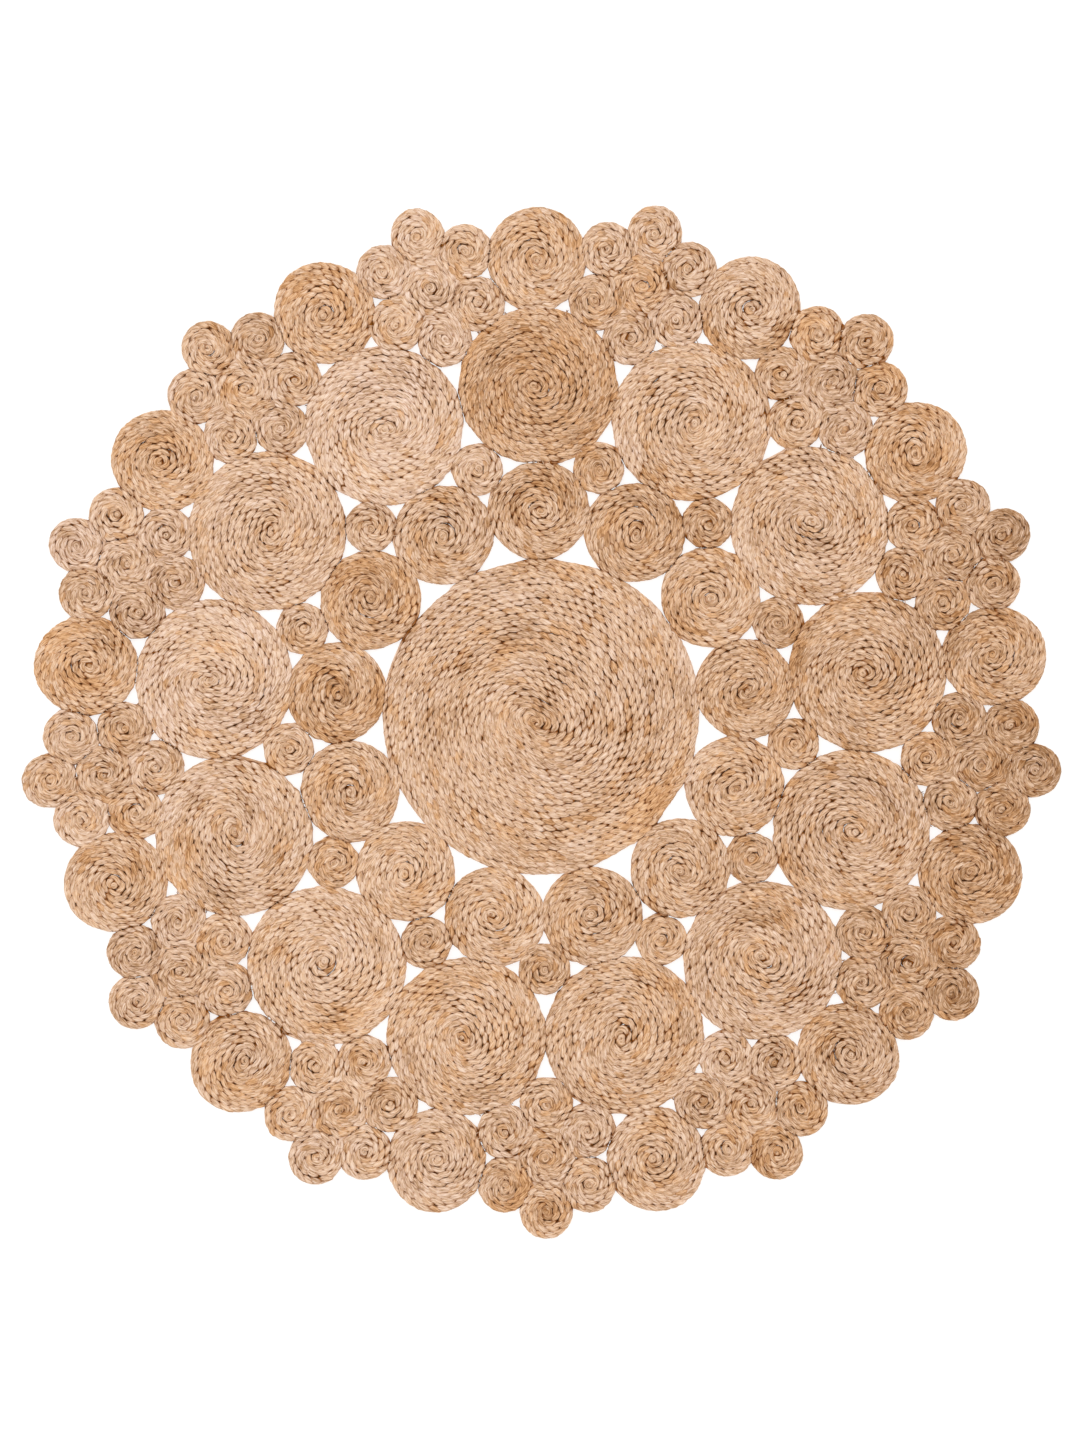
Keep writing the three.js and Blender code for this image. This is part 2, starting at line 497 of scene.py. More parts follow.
def mesh_piece(name, tubes, material):
    """One mesh object from tubes, with their values as attributes for the material."""
    sizes = [len(one.points) for one in tubes]
    starts = np.concatenate([[0], np.cumsum(sizes)[:-1]])
    quads = np.concatenate([one.quads + start for one, start in zip(tubes, starts)])
    caps = [cap + start for one, start in zip(tubes, starts) for cap in one.caps]
    corners = np.concatenate([quads.ravel(), *caps])
    lengths = np.concatenate([np.full(len(quads), 4), [len(cap) for cap in caps]])

    mesh = bpy.data.meshes.new(name)
    mesh.vertices.add(sum(sizes))
    mesh.vertices.foreach_set("co", np.concatenate([one.points for one in tubes]).ravel())
    mesh.loops.add(len(corners))
    mesh.loops.foreach_set("vertex_index", corners.astype(np.int32))
    mesh.polygons.add(len(lengths))
    face_starts = np.concatenate([[0], np.cumsum(lengths)[:-1]])
    mesh.polygons.foreach_set("loop_start", face_starts.astype(np.int32))
    mesh.update(calc_edges=True)
    mesh.shade_smooth()
    for kind in ("tone", "hue", "depth", "fibre_place"):
        values = np.concatenate([one.values[kind] for one in tubes])
        if values.ndim == 1:
            attribute = mesh.attributes.new(kind, "FLOAT", "POINT")
            attribute.data.foreach_set("value", values.astype(np.float32))
        else:
            attribute = mesh.attributes.new(kind, "FLOAT_VECTOR", "POINT")
            attribute.data.foreach_set("vector", values.astype(np.float32).ravel())
    mesh.materials.append(material)
    return add_object(name, mesh)


def add_object(name, data):
    """A new object in the scene."""
    made = bpy.data.objects.new(name, data)
    bpy.context.scene.collection.objects.link(made)
    return made


# ---- the jute of each coil
# Tone and hue are in steps. A step up in tone is a little paler, and a step up in hue is a little
# pinker and less orange. The materials below turn both into colour.

# What the jute of each kind of coil is like: how pale, how pink, and how much both differ from
# one coil to the next.
JUTE_OF_KIND = {
    "centre": (0.60, 0.20, 0.0),
    "inner": (0.00, -0.15, 0.3),
    "spacer": (0.00, -0.15, 0.3),
    "large": (0.40, 0.25, 0.3),
    "rim": (0.05, -0.40, 0.3),
    "flower": (0.10, 0.25, 0.6),
}
# Coils that stand out: how much paler, and how much pinker.
JUTE_OF_COIL = {
    "inner_01": (-0.40, -0.30),
    "inner_03": (-0.65, -0.50),
    "inner_04": (-0.30, -0.85),
    "inner_06": (0.80, 0.20),
    "inner_07": (0.80, 0.20),
    "inner_13": (-0.85, -0.30),
    "spacer_01": (0.60, 0.50),
    "spacer_02": (0.45, 0.00),
    "spacer_03": (0.00, 0.80),
    "spacer_11": (-0.80, 0.10),
    "spacer_12": (-0.90, 0.00),
    "spacer_13": (-0.10, 0.00),
    "large_01": (-1.00, -1.10),
    "large_02": (0.70, 0.50),
    "large_03": (0.30, 0.20),
    "large_04": (0.80, 0.50),
    "large_06": (0.80, -0.40),
    "large_07": (0.20, -0.50),
    "large_09": (0.40, 0.10),
    "rim_02": (0.00, -0.50),
    "rim_03": (0.00, -0.45),
    "rim_04": (0.00, -0.75),
    "rim_05": (0.40, 0.00),
    "rim_07": (0.50, 0.85),
    "rim_08": (0.60, 1.20),
    "rim_09": (-0.30, 1.10),
    "rim_11": (0.40, 0.50),
    "rim_13": (0.70, 1.00),
    "flower_01": (0.50, 0.20),
    "flower_03": (-0.20, 0.50),
    "flower_06": (0.70, 0.00),
    "flower_09": (-0.90, -0.40),
    "flower_10": (-0.65, 0.00),
    "flower_11": (-0.90, 0.00),
}
ALL_PALER = 0.15
PALE_HEADING = math.radians(150)  # coils are paler and pinker towards this side of the rug
PALE_GROWTH = 0.2  # by so much at the rug's edge
PINK_GROWTH = 0.25
DARK_HEADING = math.radians(-12)  # and the outer coils on this side are darker
DARK_GROWTH = 2.2
DARK_OUTWARDS = 4  # the higher, the closer to the rug's edge the dark coils lie
DARK_NARROWNESS = 5  # the higher, the closer to that heading

PATCH_AREA = 0.0024  # a coil has one patch of odd jute for so much of its area
PATCH_PLACE = (0.02, 1)  # from how near the coil's middle to how near its edge, by area
PATCH_WIDTH = (0.006, 0.016)
PATCH_LENGTH = (0.015, 0.05)
PATCH_TONE = (-1.9, 1.1)
PATCH_HUE = (-1.9, 1.0)

# A coil's middle is a little darker and warmer than the rest, and the centre coil's is much more
# so: out to which radius, and by how much tone and hue.
MIDDLE_OF_COIL = (0.018, -0.5, -0.5)
MIDDLE_OF_CENTRE = (0.034, -2.1, -1.1)

STRETCH_TONE = (0.25, 0.3)  # how much tone changes along the plait, and over what length
LOBE_SPREAD = 0.9  # how much tone and hue change from lobe to lobe of a strand
LOBE_TONE_LENGTH = 0.018
LOBE_HUE_LENGTH = 0.020
RUST_FROM = 0.6  # the most orange lobes of a strand, from this share of the way, are rusty
RUST_TONE = 1.7  # and are so much darker
RUST_HUE = 1.5  # and so much more orange still


def jute_of(coil, rng):
    """How pale a coil's jute is, and how pink."""
    pale, pink, spread = JUTE_OF_KIND[coil.name.split("_")[0]]
    odd = JUTE_OF_COIL.get(coil.name, (0, 0))
    outwards = math.hypot(coil.x, coil.y) / RUG_RADIUS
    heading = math.atan2(coil.y, coil.x)
    to_pale_side = outwards * math.cos(heading - PALE_HEADING)
    to_dark_side = max(0, math.cos(heading - DARK_HEADING)) ** DARK_NARROWNESS
    pale += ALL_PALER + PALE_GROWTH * to_pale_side
    pale -= DARK_GROWTH * outwards**DARK_OUTWARDS * to_dark_side
    pink += PINK_GROWTH * to_pale_side
    pale += odd[0] + spread * rng.uniform(-1, 1)
    pink += odd[1] + spread * rng.uniform(-1, 1)
    return pale, pink


def middle_jute(coil, radius):
    """How much tone and hue a coil's jute differs by, so far from its middle."""
    size, tone, hue = MIDDLE_OF_CENTRE if coil.name == "centre" else MIDDLE_OF_COIL
    near = np.exp(-((radius / size) ** 2))
    return tone * near, hue * near


def patches(path, coil, rng):
    """The middle's jute, and patches of odd jute a few turns wide and a few lobes long."""
    from_middle = path.middle - (coil.x, coil.y)
    radius = np.hypot(*from_middle.T)
    direction = np.arctan2(from_middle[:, 1], from_middle[:, 0])
    tone, hue = middle_jute(coil, radius)
    for _ in range(int(math.pi * coil.half_width**2 / PATCH_AREA) + 1):
        patch_radius = coil.half_width * math.sqrt(rng.uniform(*PATCH_PLACE))
        patch_direction = rng.uniform(-math.pi, math.pi)
        wide = rng.uniform(*PATCH_WIDTH)
        long = rng.uniform(*PATCH_LENGTH)
        turned = (direction - patch_direction + math.pi) % FULL_TURN - math.pi
        across = (radius - patch_radius) / wide
        along = turned * patch_radius / long
        near = np.exp(-(across**2) - along**2)
        tone += near * rng.uniform(*PATCH_TONE)
        hue += near * rng.uniform(*PATCH_HUE)
    return tone, hue


def lobe_jute(along, rng):
    """Tone and hue from lobe to lobe of a strand. Here and there a lobe is rusty."""
    tone = smooth_noise(rng, along, 1, LOBE_TONE_LENGTH)
    hue = smooth_noise(rng, along, 1, LOBE_HUE_LENGTH)
    rust = np.maximum(-hue - RUST_FROM, 0) / (1 - RUST_FROM)
    return LOBE_SPREAD * tone - RUST_TONE * rust, LOBE_SPREAD * hue - RUST_HUE * rust


# ---- strands
STRANDS = 3
STRAND_SIDES = 8

# As a share of half the plait's width: a strand's swing to each side, its half width where it
# bulges out at the plait's side, and its half width where it crosses the plait's middle line.
SWING_SHARE = 0.52
SIDE_SHARE = 0.66
CROSSING_SHARE = 1.0

SIDE_HALF_HEIGHT = 0.0034
CREST_HALF_HEIGHT = 0.0024
LINGER = 0.55  # a strand crosses so much more slowly on the faces, and faster inside, as a share
CREST_LINGER = 0.35  # it climbs so much faster at first, and levels out, as a share
SQUARENESS = 0.7  # power that makes a strand's section boxier than an ellipse
THIN_RISE = 0.3  # power of the plait's fullness by which strands rise less where it is narrow
EDGE_DROP = 0.22  # a coil's last turn is so much lower on its outer side, as a share
BENT_SLACK = 0.12  # strands are thinner by this share where the plait is bent tightly
BENT_RADIUS = 0.022  # in a coil's turns within about this radius
END_SECTION = 0.35  # share of its section that a strand has at its very ends
END_GROWTH = 0.3  # and how much more it has with each step from there
GRAIN_START = (0, 50)  # where a tube's grain starts in an endless bundle

# How uneven a plait is: by how much, and over what length of it.
PERIOD_RANGE = (0.92, 1.08)  # a coil's period, as a share of the usual one
CROSSING_DRIFT = (0.25, 6 * PLAIT_PERIOD)  # where its strands cross, in periods
TURN_WANDER = (0.3, PLAIT_PERIOD / 2)  # where one strand crosses, in radians
SWING_WANDER = (0.3, 0.02)  # how far a strand swings, as a share
SWELL = (0.10, 0.014)  # how thick it is, as a share
LIFT = (0.08, 0.014)  # how high it rises, as a share
RELIEF = (0.09, 0.012)  # each side of its section, as a share


def strand_height(path, turn, side, lift):
    """How high a strand lies above the rug's middle plane. Below it, this is negative."""
    upward = np.sin(turn)
    rise = THICKNESS / 2 - CREST_HALF_HEIGHT
    levelled = upward * (1 + CREST_LINGER - CREST_LINGER * upward**2)
    height = rise * lift * levelled * np.minimum(path.fullness(), 1) ** THIN_RISE
    outermost = 1 - smooth_step(path.inside / PLAIT_WIDTH)
    return height * (1 - EDGE_DROP * outermost * np.clip(-side, 0, 1))


def strand_section(path, turn, side, swell):
    """Half the width and half the height of a strand's section."""
    full = path.fullness()
    slack = 1 - BENT_SLACK * np.exp(-((path.radius / BENT_RADIUS) ** 2))
    across_share = CROSSING_SHARE + (SIDE_SHARE - CROSSING_SHARE) * side**2
    half_across = across_share * full * PLAIT_WIDTH / 2 * swell * slack
    half_high = SIDE_HALF_HEIGHT + (CREST_HALF_HEIGHT - SIDE_HALF_HEIGHT) * np.sin(turn) ** 2
    half_high = half_high * np.sqrt(np.minimum(full, 1)) * swell
    step = np.arange(len(turn))
    closing = np.clip(END_SECTION + END_GROWTH * np.minimum(step, step[::-1]), 0, 1)
    return half_across * closing, half_high * closing


def strand_tube(path, phase, rng, tone, hue):
    """One strand: it crosses the plait's middle line on the top, inside, and on the underside."""
    turn = phase + smooth_noise(rng, path.along, *TURN_WANDER)
    swing = SWING_SHARE * path.width / 2 * (1 + smooth_noise(rng, path.along, *SWING_WANDER))
    swell = 1 + smooth_noise(rng, path.along, *SWELL)
    lift = 1 - LIFT[0] + smooth_noise(rng, path.along, *LIFT)
    side = np.sin(2 * turn + LINGER * np.sin(2 * turn))
    aside = -swing * side
    flat = path.middle + path.outward * aside[:, None]
    line = np.column_stack([flat, THICKNESS / 2 + strand_height(path, turn, side, lift)])
    section = strand_section(path, turn, side, swell)
    uneven = [smooth_noise(rng, path.along, *RELIEF) for _ in range(STRAND_SIDES)]
    relief = 1 + np.stack(uneven, axis=1)

    lobe_tone, lobe_hue = lobe_jute(path.along, rng)
    values = {
        "tone": tone + lobe_tone,
        "hue": hue + lobe_hue,
        "fibre_place": path.along + rng.uniform(*GRAIN_START),
        "from_side": path.from_side() - aside,
    }
    return tube(line, *section, relief, SQUARENESS, values)


def strand_tubes(path, coil, rng, coil_tone, coil_hue):
    """The three strands of a plait, which weave from side to side and up and down."""
    period = PLAIT_PERIOD * rng.uniform(*PERIOD_RANGE)
    drift = smooth_noise(rng, path.along, *CROSSING_DRIFT)
    phase = FULL_TURN * (path.along / period + drift)
    patch_tone, patch_hue = patches(path, coil, rng)
    patch_tone += smooth_noise(rng, path.along, *STRETCH_TONE)
    jute = (coil_tone + patch_tone, coil_hue + patch_hue)
    return [
        strand_tube(path, phase + FULL_TURN * strand / STRANDS, rng, *jute)
        for strand in range(STRANDS)
    ]


# ---- inside the plait
CORE_SIDES = 6
CORE_STEP = 2  # the core needs only every second point of the plait's path
CORE_HALF_WIDTH = 0.54  # as a share of the plait's width, so that it closes the slits below
CORE_HALF_HEIGHT = 0.0028

START_POINTS = 7
START_REACH = 0.75  # how far the folded start reaches to each side, in plait widths
START_HALF_HEIGHT = 0.0038
START_BLUNTNESS = 1.05  # over 1, so that its ends are blunt


def core_tube(path, coil_tone, coil_hue):
    """The strands' hidden middles, which fill the plait's inside, so that no slit goes through."""
    middle = path.middle[::CORE_STEP]
    count = len(middle)
    values = {
        "tone": np.full(count, coil_tone),
        "hue": np.full(count, coil_hue),
        "fibre_place": path.along[::CORE_STEP],
        "from_side": path.from_side()[::CORE_STEP],
    }
    line = np.column_stack([middle, np.full(count, THICKNESS / 2)])
    section = (CORE_HALF_WIDTH * path.width[::CORE_STEP], np.full(count, CORE_HALF_HEIGHT))
    return tube(line, *section, np.ones((count, CORE_SIDES)), ROUND, values)


def folded_start(coil, path, coil_tone, coil_hue):
    """The folded end of the plait that a coil is wound round. It lies under the first turn."""
    share = np.linspace(-1, 1, START_POINTS)
    heading = path.middle[-1] - path.middle[-START_POINTS]
    heading /= np.linalg.norm(heading)
    flat = path.middle[-1] + PLAIT_WIDTH * START_REACH * share[:, None] * heading
    line = np.column_stack([flat, np.full(START_POINTS, THICKNESS / 2)])
    rounded = np.sqrt(START_BLUNTNESS - share**2)
    section = (rounded * START_REACH * PLAIT_WIDTH, rounded * START_HALF_HEIGHT)
    relief = np.ones((START_POINTS, STRAND_SIDES))
    middle_tone, middle_hue = middle_jute(coil, 0)
    jute = (coil_tone + middle_tone, coil_hue + middle_hue)
    values = even_values(START_POINTS, *jute, PLAIT_WIDTH, 0)
    return tube(line, *section, relief, SQUARENESS, values)


# ---- loose fibres
FIBRES_PER_METRE = 16
FIBRE_RADIUS = 0.00012
FIBRE_ROOT = 1.1  # how thick a fibre is at its root and at its tip, in such radii
FIBRE_TIP = 0.3
FIBRE_SIDES = 3
FIBRE_POINTS = 6
FIBRE_LENGTH = (0.005, 0.016)
FIBRE_VEER = (-0.7, 0.7)  # how far its tip strays across the plait, as a share of its length
FIBRE_CURL = 1.5  # the higher, the closer to its tip it strays
FIBRE_SUNK = 0.0018  # how deep its root lies in the middle of the plait
SIDE_SUNK = 0.0022  # and how much deeper at the plait's sides
FIBRE_RISE = (0.8, 1.25)  # how high it arches over its root, as a share of that depth
FIBRE_ARCH = 2.4  # angle of its arch
FIBRES_BELOW = 0.3  # share of the fibres that are on the underside
FIBRE_TONE = (-0.6, 1.4)
FIBRE_HUE = (-1, 1)


def fibre_tube(path, start, rng, coil_tone, coil_hue):
    """A loose fibre that starts in the plait's surface and stands a little off it."""
    share = np.linspace(0, 1, FIBRE_POINTS)
    outward = path.outward[start]
    heading = np.array([-outward[1], outward[0]]) * rng.choice((-1, 1))
    length = rng.uniform(*FIBRE_LENGTH)
    side = rng.uniform(-1, 1)
    veer = length * rng.uniform(*FIBRE_VEER) * share**FIBRE_CURL
    across = side * path.width[start] / 2 + veer
    flat = path.middle[start] + heading * length * share[:, None] + outward * across[:, None]
    sunk = FIBRE_SUNK + SIDE_SUNK * side**2
    height = THICKNESS - sunk + rng.uniform(*FIBRE_RISE) * sunk * np.sin(FIBRE_ARCH * share)
    if rng.random() < FIBRES_BELOW:
        height = THICKNESS - height
    line = np.column_stack([flat, height])
    radius = FIBRE_RADIUS * (FIBRE_ROOT + (FIBRE_TIP - FIBRE_ROOT) * share)
    relief = np.ones((FIBRE_POINTS, FIBRE_SIDES))
    tone = coil_tone + rng.uniform(*FIBRE_TONE)
    hue = coil_hue + rng.uniform(*FIBRE_HUE)
    values = even_values(FIBRE_POINTS, tone, hue, length, rng.uniform(*GRAIN_START))
    return tube(line, radius, radius, relief, ROUND, values)


def fibre_tubes(path, rng, coil_tone, coil_hue):
    """The loose fibres of one plait."""
    count = int(path.along[-1] * FIBRES_PER_METRE)
    starts = rng.integers(1, len(path.along) - 1, count)
    return [fibre_tube(path, start, rng, coil_tone, coil_hue) for start in starts]


# ---- stitches
STITCH_SPACING = 0.008
STITCH_SHIFT = (-0.25, 0.25)  # how far a stitch is off its place, as a share of the spacing
STITCH_REACH = 0.0062  # how far a stitch goes into the coils on each side of its seam
REACH_RANGE = (0.75, 1.1)  # what share of that, from stitch to stitch
STITCH_LEAN = (-0.1, 0.5)  # how far it leans along the seam, as a share of its reach
STITCH_SUNK = 0.0009  # its middle lies so deep in the groove of the seam
STITCH_DIP = 0.0030  # its ends lie so much deeper than its middle
STITCH_RADIUS = 0.0007
STITCH_TAPER = 0.35  # how much thinner it is at its ends, as a share
TAPER_POWER = 4  # the higher, the closer to its ends it grows thin
STITCH_RELIEF = 0.12  # how uneven its section is, as a share
STITCH_SIDES = 6
STITCH_POINTS = 7
STITCH_TONE = (-1, 0.5)
STITCH_HUE = (-1, 1)


def stitch_tube(middle, across, along, face, rng):
    """A stitch across a seam. face is 1 on the rug's top and -1 on its underside."""
    share = np.linspace(-1, 1, STITCH_POINTS)
    radius = STITCH_RADIUS * (1 - STITCH_TAPER * share**TAPER_POWER)
    reach = STITCH_REACH * rng.uniform(*REACH_RANGE)
    lean = rng.uniform(*STITCH_LEAN) * reach
    flat = middle + across * (reach * share)[:, None] + along * (lean * share)[:, None]
    deep = STITCH_RADIUS + STITCH_SUNK + STITCH_DIP * share**2
    height = THICKNESS / 2 + face * (THICKNESS / 2 - deep)
    line = np.column_stack([flat, height])
    relief = 1 + rng.uniform(-STITCH_RELIEF, STITCH_RELIEF, (STITCH_POINTS, STITCH_SIDES))
    tone = rng.uniform(*STITCH_TONE)
    hue = rng.uniform(*STITCH_HUE)
    values = even_values(STITCH_POINTS, tone, hue, 2 * reach, rng.uniform(*GRAIN_START))
    return tube(line, radius, radius, relief, ROUND, values)


def stitch_tubes(coil, seam, rng):
    """The stitches along one seam, on the top and on the underside."""
    across = np.array([math.cos(seam.direction), math.sin(seam.direction)])
    along = np.array([-across[1], across[0]])
    middle = np.array([coil.x, coil.y]) + across * seam.distance
    half_count = int(seam.half_length / STITCH_SPACING)
    tubes = []
    for number in range(-half_count, half_count + 1):
        for face in (1, -1):
            place = (number + rng.uniform(*STITCH_SHIFT)) * STITCH_SPACING
            tubes.append(stitch_tube(middle + along * place, across, along, face, rng))
    return tubes


# ---- shader nodes
NOISE_MIDDLE = 0.5  # what a noise texture gives on average
RAMP_MIDDLE = 0.5  # the factor that gives a ramp's middle colour
MIX_COLOURS = (6, 7)  # inputs of a Mix node that take its two colours
MIX_RESULT = 2  # and its output that gives a colour


def new_material(name):
    """A new material, and its surface shader."""
    material = bpy.data.materials.new(name)
    material.use_nodes = True
    nodes = material.node_tree.nodes
    nodes.clear()
    output = nodes.new("ShaderNodeOutputMaterial")
    shader = nodes.new("ShaderNodeBsdfPrincipled")
    material.node_tree.links.new(shader.outputs[0], output.inputs["Surface"])
    return material, shader


def feed(material, socket, value):
    """Gives an input its value, which is another node's output or a constant."""
    if isinstance(value, (int, float, tuple)):
        socket.default_value = value
    else:
        material.node_tree.links.new(value, socket)


def attribute_node(material, name, output="Fac"):
    """What a mesh attribute says at each point."""
    node = material.node_tree.nodes.new("ShaderNodeAttribute")
    node.attribute_name = name
    return node.outputs[output]


def math_node(material, operation, *values):
    """A Math node on its inputs, each a socket or a number."""
    node = material.node_tree.nodes.new("ShaderNodeMath")
    node.operation = operation
    for socket, value in zip(node.inputs, values):
        feed(material, socket, value)
    return node.outputs[0]


def spread_node(material, noise, times, middle):
    """Noise spread out to so many times its range, round a new middle."""
    return math_node(material, "MULTIPLY_ADD", noise, times, middle - NOISE_MIDDLE * times)


def range_node(material, value, side, low, high):
    """A Map Range node. Its range on one side, From or To, is low to high, and the other 0 to 1."""
    node = material.node_tree.nodes.new("ShaderNodeMapRange")
    node.inputs[side + " Min"].default_value = low
    node.inputs[side + " Max"].default_value = high
    feed(material, node.inputs["Value"], value)
    return node.outputs[0]


def ramp_node(material, factor, stops):
    """A colour ramp from stops of (place, colour)."""
    node = material.node_tree.nodes.new("ShaderNodeValToRGB")
    ramp = node.color_ramp
    while len(ramp.elements) < len(stops):
        ramp.elements.new(RAMP_MIDDLE)
    for element, (place, colour) in zip(ramp.elements, stops):
        element.position = place
        element.color = (*colour, 1)
    feed(material, node.inputs["Fac"], factor)
    return node.outputs["Color"]


def multiply_node(material, factor, colour, tint):
    """A colour multiplied by a tint, as far as the factor says."""
    node = material.node_tree.nodes.new("ShaderNodeMix")
    node.data_type = "RGBA"
    node.blend_type = "MULTIPLY"
    feed(material, node.inputs["Factor"], factor)
    for place, value in zip(MIX_COLOURS, (colour, tint)):
        feed(material, node.inputs[place], value)
    return node.outputs[MIX_RESULT]


def noise_node(material, place, scale, detail):
    """A noise texture."""
    node = material.node_tree.nodes.new("ShaderNodeTexNoise")
    node.inputs["Scale"].default_value = scale
    node.inputs["Detail"].default_value = detail
    feed(material, node.inputs["Vector"], place)
    return node.outputs["Fac"]


def fibre_noise(material, along, across, detail):
    """Noise stretched along the strand: its grain is along metres long and across metres wide."""
    place = material.node_tree.nodes.new("ShaderNodeMapping")
    place.inputs["Scale"].default_value = (1 / along, 1 / across, 1 / across)
    feed(material, place.inputs["Vector"], attribute_node(material, "fibre_place", "Vector"))
    return noise_node(material, place.outputs[0], 1, detail)


def patch_noise(material, size, detail):
    """Noise in patches that take in several turns of plait."""
    place = material.node_tree.nodes.new("ShaderNodeTexCoord").outputs["Object"]
    return noise_node(material, place, 1 / size, detail)


# ---- the jute materials
# Grain of the jute: its length, its width, and the detail of its noise.
BUNDLES = (0.010, 0.0018, 2)
STREAKS = (0.012, 0.0005, 3)
FLECKS = (0.006, 0.0011, 1)
BUNDLE_SPREAD = 1.6  # how far bundles go along the ramp of colours
STREAK_SPREAD = 0.95  # and streaks
TONE_STEP = 0.07  # and one step of tone
FLECK_SPREAD = 1.2  # how far flecks go along the ramp of tints
HUE_STEP = 0.22  # and one step of hue

SLIT_SHADE_DEPTH = (0.0013, 0.0034)  # depths over which the painted shade in the slits grows from none to full
SLIT_SHADE_PATCHES = (0.045, 1)  # patches in which the painted shade in the slits is deeper or fainter: their size, and their detail
SLIT_SHADE_SPREAD = 2.0
SLIT_SHADE_MIDDLE = 0.9

PLAIT_ROUGHNESS = 0.82
THREAD_ROUGHNESS = 0.7
ROUGHNESS_SPREAD = 0.08
BUMP_STRENGTH = 0.7
BUMP_HEIGHT = 0.0006
SPECULAR = 0.14
SHEEN = 0.12
SHEEN_ROUGHNESS = 0.5

PLAIT_STOPS = [
    (0.08, (0.30, 0.142, 0.055)),
    (0.33, (0.54, 0.318, 0.176)),
    (0.50, (0.72, 0.465, 0.300)),
    (0.68, (0.84, 0.585, 0.405)),
    (0.90, (0.96, 0.730, 0.560)),
]
THREAD_STOPS = [
    (0.10, (0.30, 0.160, 0.080)),
    (0.50, (0.60, 0.385, 0.240)),
    (0.90, (0.80, 0.560, 0.390)),
]
TINTS = [
    (0.0, (0.97, 0.82, 0.62)),
    (0.5, (1.00, 1.00, 1.00)),
    (1.0, (1.00, 1.04, 1.16)),
]
# Painted shade: the dark brown that the jute's colour is multiplied by where the slits are deepest.
SLIT_SHADE_TINT = (0.40, 0.19, 0.024, 1)
SHEEN_TINT = (0.90, 0.68, 0.46, 1)


def jute_colour(material, bundles, streaks, stops):
    """Colour of jute: light and dark grain, tinted by hue, with painted shade, dark and brown, down
    in the slits.
    """
    tone = math_node(material, "MULTIPLY", attribute_node(material, "tone"), TONE_STEP)
    shade = spread_node(material, bundles, BUNDLE_SPREAD, RAMP_MIDDLE)
    shade = math_node(material, "ADD", shade, spread_node(material, streaks, STREAK_SPREAD, 0.0))
    shade = math_node(material, "ADD", shade, tone)
    colour = ramp_node(material, shade, stops)

    hue = math_node(material, "MULTIPLY", attribute_node(material, "hue"), HUE_STEP)
    flecks = fibre_noise(material, *FLECKS)
    tinge = spread_node(material, flecks, FLECK_SPREAD, RAMP_MIDDLE)
    tinge = math_node(material, "ADD", hue, tinge)
    colour = multiply_node(material, 1.0, colour, ramp_node(material, tinge, TINTS))

    # Painted shade down in the slits between the strands, by depth: deeper in some patches and
    # fainter in others.
    shade_patches = spread_node(material, patch_noise(material, *SLIT_SHADE_PATCHES), SLIT_SHADE_SPREAD, SLIT_SHADE_MIDDLE)
    depth = math_node(material, "MULTIPLY", attribute_node(material, "depth"), shade_patches)
    # sunk is how much painted shade a point gets, from its depth.
    sunk = range_node(material, depth, "From", *SLIT_SHADE_DEPTH)
    return multiply_node(material, sunk, colour, SLIT_SHADE_TINT)


def jute_material(name, stops, roughness):
    """Jute: broad bundles and thin streaks of grain along the fibres, in colour and in relief."""
    material, shader = new_material(name)
    bundles = fibre_noise(material, *BUNDLES)
    streaks = fibre_noise(material, *STREAKS)
    feed(material, shader.inputs["Base Color"], jute_colour(material, bundles, streaks, stops))

    limits = (roughness - ROUGHNESS_SPREAD, roughness + ROUGHNESS_SPREAD)
    feed(material, shader.inputs["Roughness"], range_node(material, streaks, "To", *limits))
    bump = material.node_tree.nodes.new("ShaderNodeBump")
    bump.inputs["Strength"].default_value = BUMP_STRENGTH
    bump.inputs["Distance"].default_value = BUMP_HEIGHT
    feed(material, bump.inputs["Height"], math_node(material, "ADD", streaks, bundles))
    feed(material, shader.inputs["Normal"], bump.outputs[0])
    shader.inputs["Specular IOR Level"].default_value = SPECULAR
    shader.inputs["Sheen Weight"].default_value = SHEEN
    shader.inputs["Sheen Roughness"].default_value = SHEEN_ROUGHNESS
    shader.inputs["Sheen Tint"].default_value = SHEEN_TINT
    return material


# ---- pieces
def place_piece(piece, slot, *nodes):
    """Puts a piece on the rug's one body, and hides the CAD nodes it replaces. slot is not used."""
    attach(piece, "root")
    if nodes:
        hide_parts(*nodes)


def make_coils(rug, material):
    """A piece for each CAD node, and one for each strand of the long plait in the middle."""
    by_node = {}
    for index, coil in enumerate(rug):
        rng = np.random.default_rng(index)
        jute = jute_of(coil, rng)
        path = spiral(coil, rug, rng)
        strands = strand_tubes(path, coil, rng, *jute)
        others = [folded_start(coil, path, *jute), core_tube(path, *jute)]
        others += fibre_tubes(path, rng, *jute)
        if coil.node == "centre_coil":
            for number in range(STRANDS):
                name = f"centre_plait_strand_{number + 1}"
                piece = mesh_piece(name, [strands[number], *others[number::STRANDS]], material)
                place_piece(piece, "jute_plait", coil.node)
        else:
            by_node.setdefault(coil.node, []).extend(strands + others)
    for node, tubes in by_node.items():
        piece = mesh_piece(node.replace("coil", "plait"), tubes, material)
        place_piece(piece, "jute_plait", node)


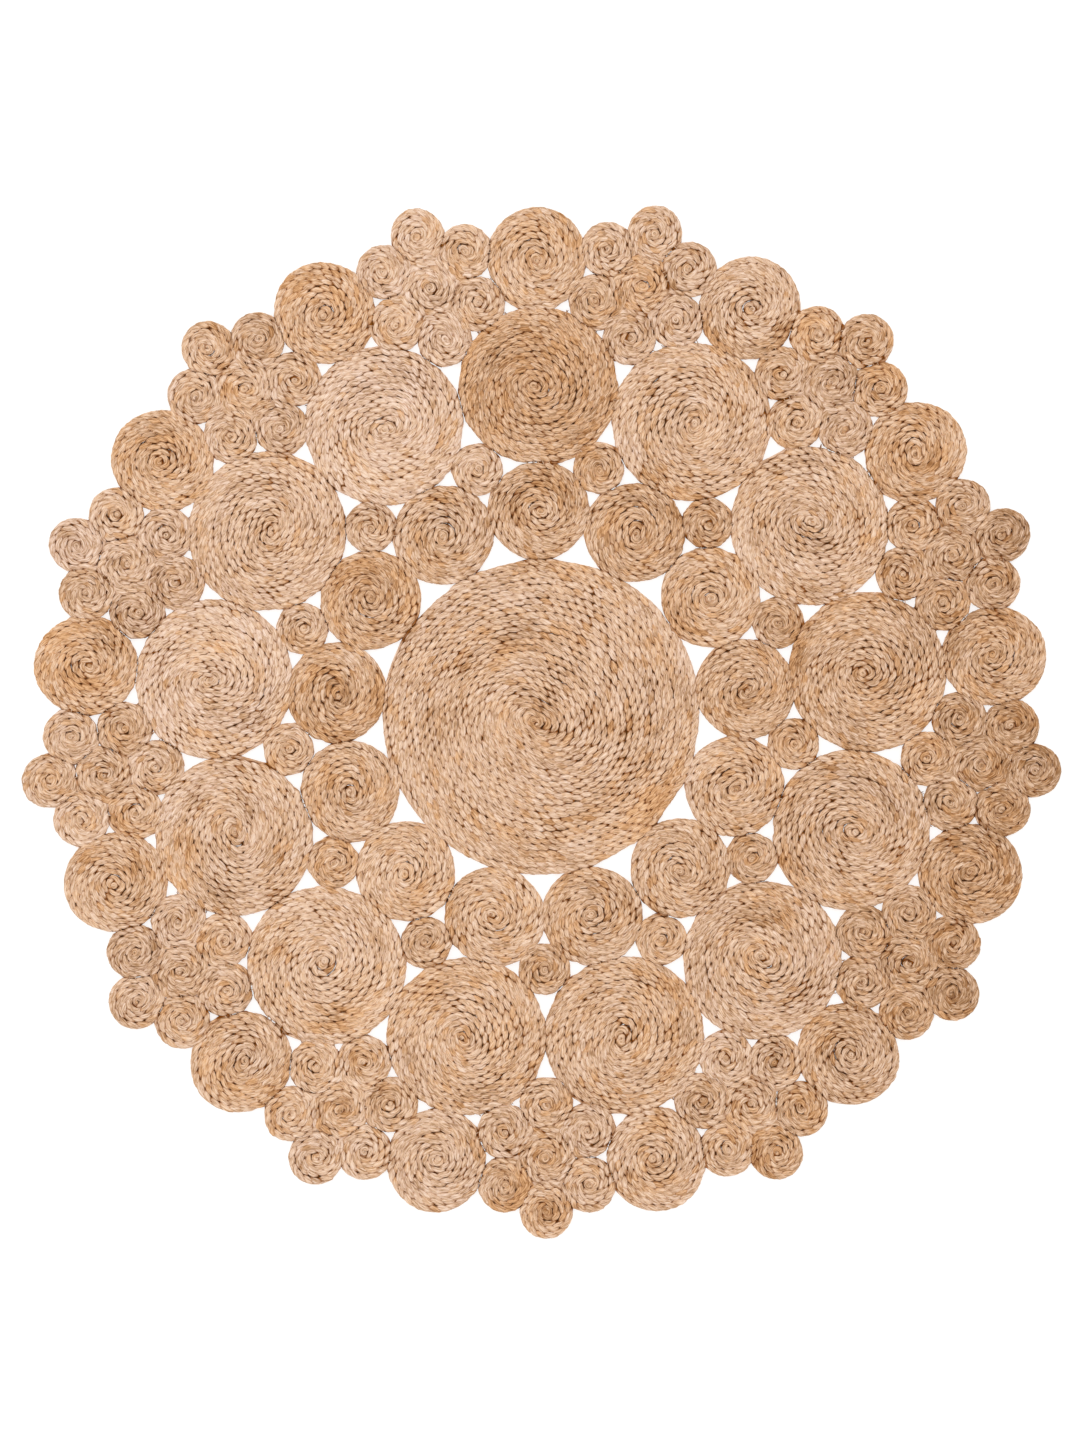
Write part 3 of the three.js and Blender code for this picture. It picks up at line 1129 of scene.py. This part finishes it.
def make_stitches(rug, material):
    """A piece for the stitches of each sector, and so for all seams that lie in it."""
    rng = np.random.default_rng(len(rug))
    by_sector = [[] for _ in range(SECTORS)]
    for index, coil in enumerate(rug):
        for other in rug[index + 1 :]:
            seam = seam_between(coil, other)
            if seam is None:
                continue
            x = coil.x + seam.distance * math.cos(seam.direction)
            y = coil.y + seam.distance * math.sin(seam.direction)
            sector = int(((math.atan2(y, x) - FIRST_HEADING) / SECTOR_ANGLE) % SECTORS)
            by_sector[sector] += stitch_tubes(coil, seam, rng)
    for index, tubes in enumerate(by_sector):
        piece = mesh_piece(f"seam_stitches_{index + 1:02d}", tubes, material)
        place_piece(piece, "jute_thread")


# ---- floor, light and camera
VIEW_WIDTH = 1.581  # how much of the floor the frame's short side takes in
VIEW_SHAPE = 4 / 3  # the frame's long side over its short side
VIEW_AIM = (-0.002, -0.006)
VIEW_TURN = math.radians(-0.65)
VIEW_LIMIT = 50  # the camera sees no further than this
LENS = 120

WHITE = (1, 1, 1, 1)
FLOOR_GREY = (0.35, 0.35, 0.35, 1)
FLOOR_ROUGHNESS = 0.9
FLOOR_GLOW = 0.75  # so that the floor stays white in the holes between coils
FLOOR_HALF = 60
FLOOR_DROP = 0.0003  # below the rug, so that the two don't share a plane

WORLD_STRENGTH = 0.92
LIGHT_PLACE = (-1.6, 2.4, 7.0)
LIGHT_SIZE = 4.4
LIGHT_POWER = 105


def make_camera():
    """A camera high above the rug, which looks straight down."""
    data = bpy.data.cameras.new("camera")
    data.lens = LENS
    data.clip_end = VIEW_LIMIT
    camera = add_object("camera", data)
    height = VIEW_WIDTH * VIEW_SHAPE * LENS / data.sensor_width
    camera.location = (*VIEW_AIM, height)
    camera.rotation_euler = (0, 0, VIEW_TURN)
    bpy.context.scene.camera = camera


def make_floor():
    """A plain white floor, which goes on far past the rug."""
    material, shader = new_material("floor")
    shader.inputs["Base Color"].default_value = FLOOR_GREY
    shader.inputs["Roughness"].default_value = FLOOR_ROUGHNESS
    shader.inputs["Emission Color"].default_value = WHITE
    shader.inputs["Emission Strength"].default_value = FLOOR_GLOW
    corners = [(-1, -1), (1, -1), (1, 1), (-1, 1)]
    points = [(FLOOR_HALF * x, FLOOR_HALF * y, -FLOOR_DROP) for x, y in corners]
    mesh = bpy.data.meshes.new("floor")
    mesh.from_pydata(points, [], [(0, 1, 2, 3)])
    mesh.materials.append(material)
    floor = add_object("floor", mesh)


def make_world():
    """Even white light from all round."""
    world = bpy.data.worlds.new("studio")
    world.use_nodes = True
    background = world.node_tree.nodes["Background"]
    background.inputs["Color"].default_value = WHITE
    background.inputs["Strength"].default_value = WORLD_STRENGTH
    bpy.context.scene.world = world


def make_light():
    """A wide light high up and a little to one side, turned to the rug's middle."""
    data = bpy.data.lights.new("overhead", "AREA")
    data.shape = "SQUARE"
    data.size = LIGHT_SIZE
    data.energy = LIGHT_POWER
    light = add_object("overhead", data)
    light.location = LIGHT_PLACE
    towards = -light.location
    light.rotation_euler = towards.to_track_quat("-Z", "Y").to_euler()


make_camera()
make_floor()
make_world()
make_light()
bpy.context.scene.view_settings.view_transform = "Standard"

rug = coils_of_rug()
make_coils(rug, jute_material("jute_plait", PLAIT_STOPS, PLAIT_ROUGHNESS))
make_stitches(rug, jute_material("jute_thread", THREAD_STOPS, THREAD_ROUGHNESS))
